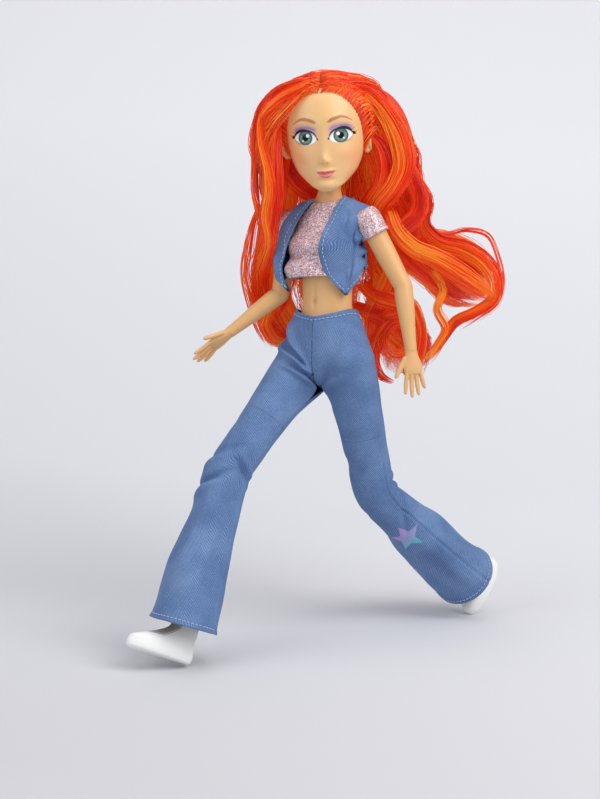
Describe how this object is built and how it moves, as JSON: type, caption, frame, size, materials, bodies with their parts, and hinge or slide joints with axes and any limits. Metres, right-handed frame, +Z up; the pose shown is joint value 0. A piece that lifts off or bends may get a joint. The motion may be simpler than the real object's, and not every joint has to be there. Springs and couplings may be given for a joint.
{
  "type": "fashion doll",
  "caption": "Jointed fashion doll in mid-stride with long rooted hair, cropped knit top, open denim vest, flared denim trousers and wedge shoes.",
  "frame": {"origin": "centre of the bounding box in plan, on the floor under the shoes", "axes": "+Z up, along the doll's height; the doll faces -Y and its left side is +X"},
  "size_m": [0.1108, 0.1906, 0.2653],
  "materials": {
    "skin": "satin flesh-toned vinyl, painted face",
    "peg": "moulded natural",
    "pin": "plain",
    "hair": "glossy synthetic fibre, orange-red",
    "denim": "blue twill with white topstitching",
    "knit": "pale pink knit with metallic thread",
    "shoe": "soft white moulding",
    "fastener": "hook-and-loop strip"
  },
  "bodies": {
    "torso": {"torso_front_shell": "skin", "torso_back_shell": "skin", "neck_pin": "pin", "top_bodice": "knit", "top_back_fastener": "fastener", "vest_front_left": "denim", "vest_front_right": "denim", "vest_back": "denim", "trousers_back_fastener": "fastener"},
    "neck": {"neck_knob": "peg"},
    "head": {"head_shell": "skin", "hair_crown": "hair", "hair_right_front_lock": "hair", "hair_right_fall": "hair", "hair_left_fall": "hair", "hair_swept_lock": "hair", "hair_left_curls": "hair", "hair_back_fall": "hair"},
    "arm_left": {"arm_left": "skin", "shoulder_peg_left": "peg", "top_sleeve_left": "knit"},
    "thigh_left": {"thigh_left": "skin", "hip_peg_left": "peg", "knee_pin_left": "pin", "trousers_left_half": "denim"},
    "shin_left": {"lower_leg_left": "skin", "shoe_left": "shoe"},
    "arm_right": {"arm_right": "skin", "shoulder_peg_right": "peg", "top_sleeve_right": "knit"},
    "thigh_right": {"thigh_right": "skin", "hip_peg_right": "peg", "knee_pin_right": "pin", "trousers_right_half": "denim"},
    "shin_right": {"lower_leg_right": "skin", "shoe_right": "shoe"}
  },
  "joints": [
    {"name": "neck_nod", "type": "hinge", "parent": "torso", "child": "neck", "pos_m": [-0.00314, 0.01374, 0.21362], "axis": [0.9993, 0, 0.0366], "range_deg": [-26, 4], "deforming": ["hair_crown", "hair_right_front_lock", "hair_right_fall", "hair_left_fall", "hair_swept_lock", "hair_left_curls", "hair_back_fall"]},
    {"name": "head_turn", "type": "hinge", "parent": "neck", "child": "head", "pos_m": [-0.00314, 0.01374, 0.21362], "axis": [-0.0365, -0.0976, 0.9946], "range_deg": [-102, 48], "deforming": ["hair_crown", "hair_right_front_lock", "hair_right_fall", "hair_left_fall", "hair_swept_lock", "hair_left_curls", "hair_back_fall"]},
    {"name": "shoulder_left", "type": "hinge", "parent": "torso", "child": "arm_left", "pos_m": [0.018, 0.01254, 0.19642], "axis": [-0.9993, 0, -0.0366], "range_deg": [-43, 187], "deforming": ["top_sleeve_left", "vest_front_left", "vest_back", "hair_crown", "hair_right_front_lock", "hair_right_fall", "hair_left_fall", "hair_swept_lock", "hair_left_curls", "hair_back_fall"]},
    {"name": "shoulder_right", "type": "hinge", "parent": "torso", "child": "arm_right", "pos_m": [-0.02297, 0.01254, 0.19492], "axis": [-0.9993, 0, -0.0366], "range_deg": [-69, 161], "deforming": ["top_sleeve_right", "vest_front_right", "vest_back", "hair_crown", "hair_right_front_lock", "hair_right_fall", "hair_left_fall", "hair_swept_lock", "hair_left_curls", "hair_back_fall"]},
    {"name": "hip_left", "type": "hinge", "parent": "torso", "child": "thigh_left", "pos_m": [0.01192, 0.00583, 0.13049], "axis": [-0.7324, 0.0665, 0.6776], "range_deg": [-18, 137], "deforming": ["trousers_left_half", "trousers_right_half", "trousers_back_fastener"]},
    {"name": "hip_right", "type": "hinge", "parent": "torso", "child": "thigh_right", "pos_m": [-0.01207, 0.00583, 0.12961], "axis": [0.6808, 0.0665, 0.7294], "range_deg": [-53, 102], "deforming": ["trousers_left_half", "trousers_right_half", "trousers_back_fastener"]},
    {"name": "knee_left", "type": "hinge", "parent": "thigh_left", "child": "shin_left", "pos_m": [0.01777, 0.02082, 0.06751], "axis": [0.9457, -0.3247, 0.0106], "range_deg": [-42, 53], "deforming": ["trousers_left_half"]},
    {"name": "knee_right", "type": "hinge", "parent": "thigh_right", "child": "shin_right", "pos_m": [-0.02516, -0.03727, 0.08275], "axis": [0.7614, -0.569, 0.3106], "range_deg": [-18, 77], "deforming": ["trousers_right_half"]}
  ]
}
